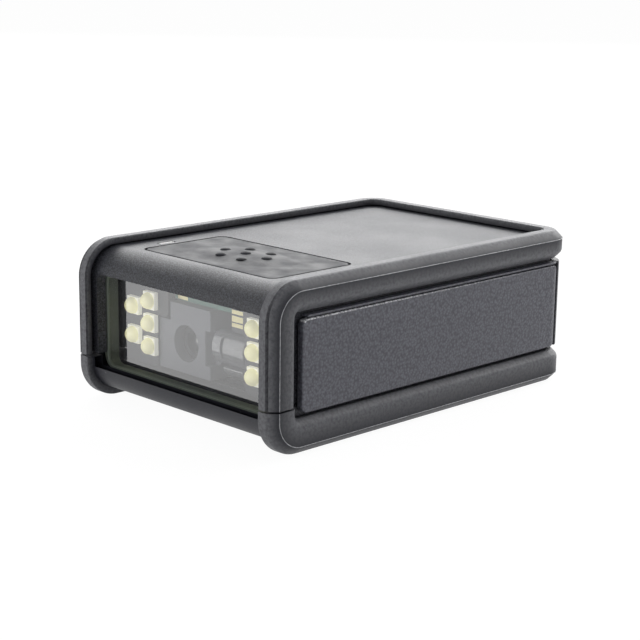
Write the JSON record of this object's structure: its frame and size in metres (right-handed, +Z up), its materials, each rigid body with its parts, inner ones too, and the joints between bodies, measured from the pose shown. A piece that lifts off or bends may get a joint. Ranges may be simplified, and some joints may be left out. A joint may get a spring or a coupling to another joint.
{
  "type": "fixed barcode reader",
  "caption": "Compact fixed-mount area-imaging barcode reader with wrap-round bumper rails, a lit camera window, a top trigger key and a rear interface socket.",
  "frame": {"origin": "centre of the base, on the plane that the lower bumper's rim stands on", "axes": "+Z up, +Y from the window back to the interface socket, window facing -Y"},
  "size_m": [0.046, 0.068, 0.0255],
  "materials": {
    "bumper_rubber": "moulded grey bumper, fine texture, soft satin",
    "housing_polycarbonate": "charcoal grey, fine spark texture",
    "pad_elastomer": "charcoal grey, leather-like grain",
    "key_plastic": "dark grey, smooth satin",
    "dark_plastic": "black, fine matt",
    "engine_plastic": "mid grey, matt",
    "gasket_foam": "grey-green closed-cell foam",
    "window_glass": "clear, polished",
    "lens_glass": "clear, polished",
    "circuit_board": "green solder mask",
    "led_board_mask": "black solder mask",
    "led_phosphor": "pale yellow lens on a white package",
    "light_pipe": "milky clear",
    "chip_moulding": "black moulding",
    "zinc_steel": "zinc plated",
    "brass": "turned",
    "flex_film": "amber film"
  },
  "bodies": {
    "housing": {"aimer_foot_lens": "lens_glass", "aimer_lens": "window_glass", "beeper": "chip_moulding", "camera_lens": "lens_glass", "case_screw_1": "zinc_steel", "case_screw_2": "zinc_steel", "case_screw_3": "zinc_steel", "case_screw_4": "zinc_steel", "engine_board": "circuit_board", "engine_carrier": "dark_plastic", "engine_chassis": "engine_plastic", "engine_flex": "flex_film", "flex_connector": "dark_plastic", "interface_socket": "dark_plastic", "key_board": "circuit_board", "led_1": "led_phosphor", "led_10": "led_phosphor", "led_2": "led_phosphor", "led_3": "led_phosphor", "led_4": "led_phosphor", "led_5": "led_phosphor", "led_6": "led_phosphor", "led_7": "led_phosphor", "led_8": "led_phosphor", "led_9": "led_phosphor", "left_led_board": "led_board_mask", "left_mounting_insert": "brass", "left_side_pad": "pad_elastomer", "lens_barrel": "dark_plastic", "lower_bumper": "bumper_rubber", "lower_housing": "housing_polycarbonate", "main_board": "circuit_board", "processor_shield": "zinc_steel", "rear_panel": "housing_polycarbonate", "right_led_board": "led_board_mask", "right_mounting_insert": "brass", "right_side_pad": "pad_elastomer", "sensor_board": "circuit_board", "status_led": "light_pipe", "status_light_pipe": "light_pipe", "trigger_switch": "dark_plastic", "upper_bumper": "bumper_rubber", "upper_housing": "housing_polycarbonate", "window_gasket": "gasket_foam", "window_pane": "window_glass"},
    "trigger": {"trigger_key": "key_plastic", "switch_plunger": "dark_plastic"}
  },
  "joints": [
    {"name": "trigger_press", "type": "slide", "parent": "housing", "child": "trigger", "axis": [0, 0, -1], "range_m": [0, 0.0004], "stiffness_N_per_m": 1500}
  ]
}
